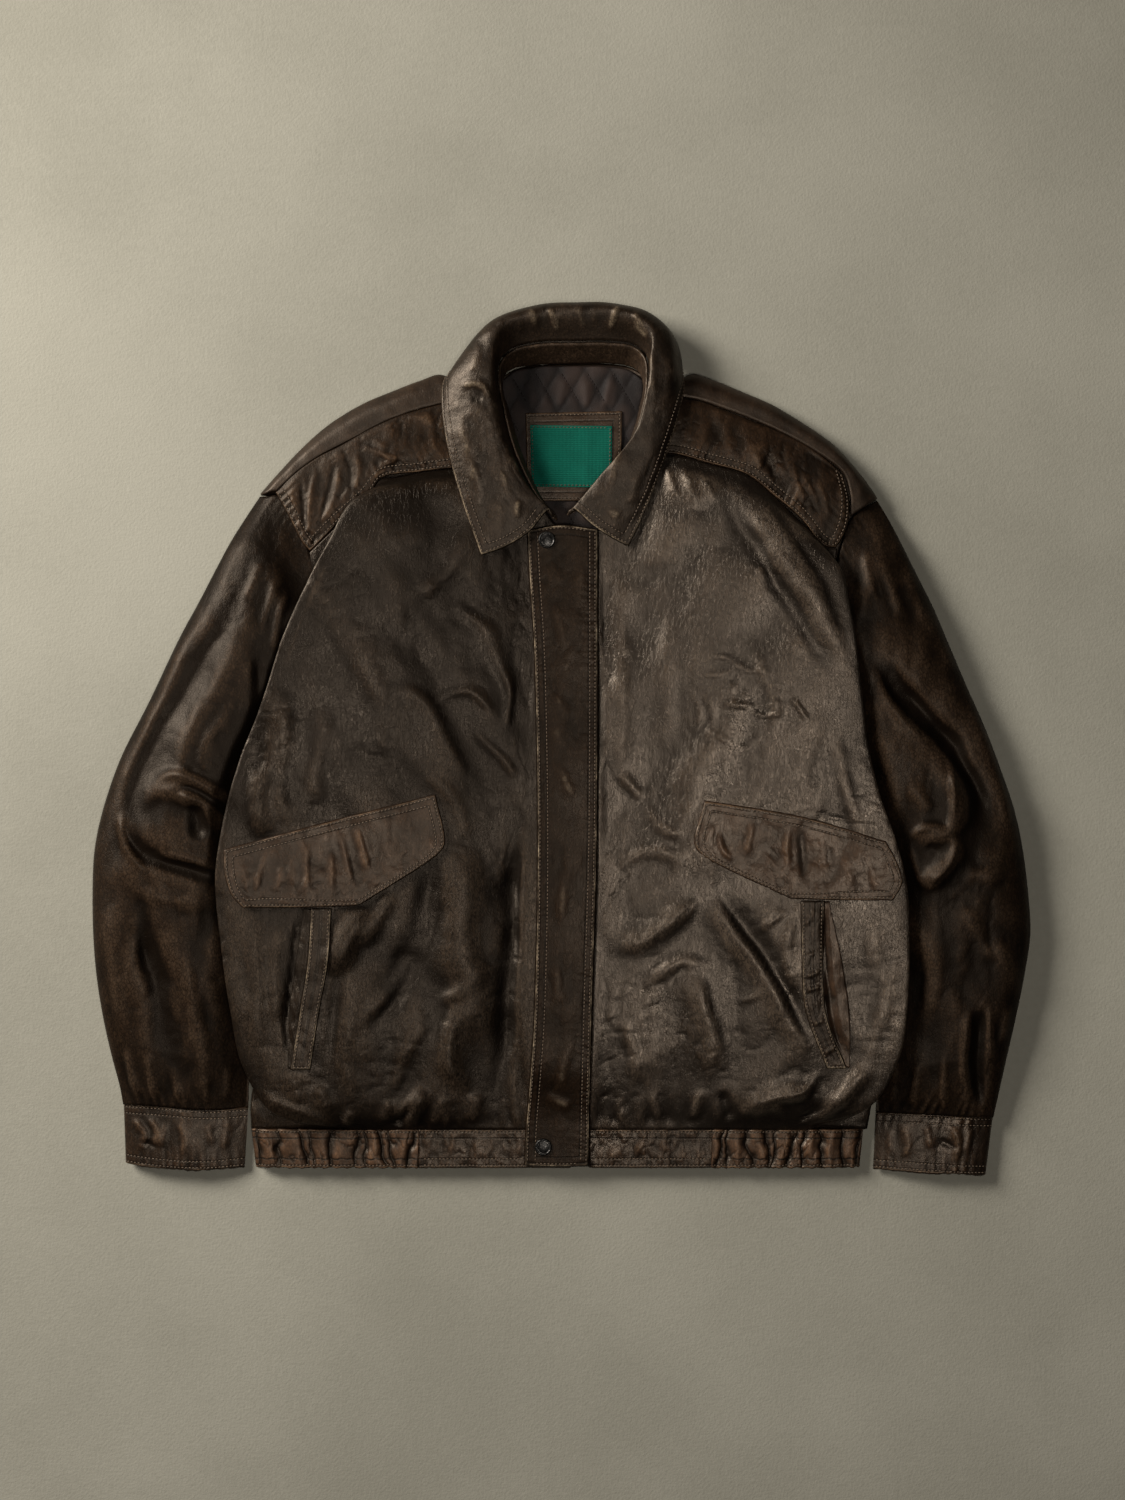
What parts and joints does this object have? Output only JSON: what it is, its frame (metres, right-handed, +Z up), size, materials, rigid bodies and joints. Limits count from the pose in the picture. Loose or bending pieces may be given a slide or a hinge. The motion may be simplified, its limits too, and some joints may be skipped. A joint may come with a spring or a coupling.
{
  "type": "leather jacket",
  "caption": "Worn leather blouson jacket lying flat and buttoned, with a fold-over collar, front placket, slanted pocket flaps, welt pockets and a gathered waist band.",
  "frame": {"origin": "centre of the bounding box, on the floor that the jacket lies on", "axes": "+X to the wearer's left, +Y from the hem towards the collar, +Z up from the floor"},
  "size_m": [0.8254, 0.7664, 0.0419],
  "materials": {
    "front_leather": "worn, semi-gloss, fine vertical grain",
    "back_leather": "worn, semi-gloss, fine grain",
    "sleeve_leather": "worn, semi-gloss",
    "yoke_leather": "worn, smooth, satin",
    "trim_leather": "worn, smooth, satin",
    "gathered_leather": "worn, gathered on elastic, satin",
    "collar_leather": "worn, satin, pale at the edges",
    "lining_cloth": "quilted satin weave",
    "label_cloth": "ribbed weave",
    "dark_metal": "dark, glossy"
  },
  "bodies": {
    "root": {"back": "back_leather", "front_right": "front_leather", "front_left": "front_leather", "yoke_right": "yoke_leather", "yoke_left": "yoke_leather", "sleeve_right": "sleeve_leather", "sleeve_left": "sleeve_leather", "cuff_right": "yoke_leather", "cuff_left": "yoke_leather", "collar_stand": "collar_leather", "collar_fall": "collar_leather", "placket": "yoke_leather", "band_front_right": "yoke_leather", "band_front_left": "yoke_leather", "band_elastic_right": "gathered_leather", "band_elastic_left": "gathered_leather", "band_back": "gathered_leather", "flap_right": "trim_leather", "flap_left": "trim_leather", "welt_right": "front_leather", "welt_left": "front_leather", "pocket_facing_right": "trim_leather", "pocket_facing_left": "trim_leather", "lining": "lining_cloth", "label_backing": "trim_leather", "label": "label_cloth", "snap_top": "dark_metal", "snap_bottom": "dark_metal"}
  },
  "joints": []
}
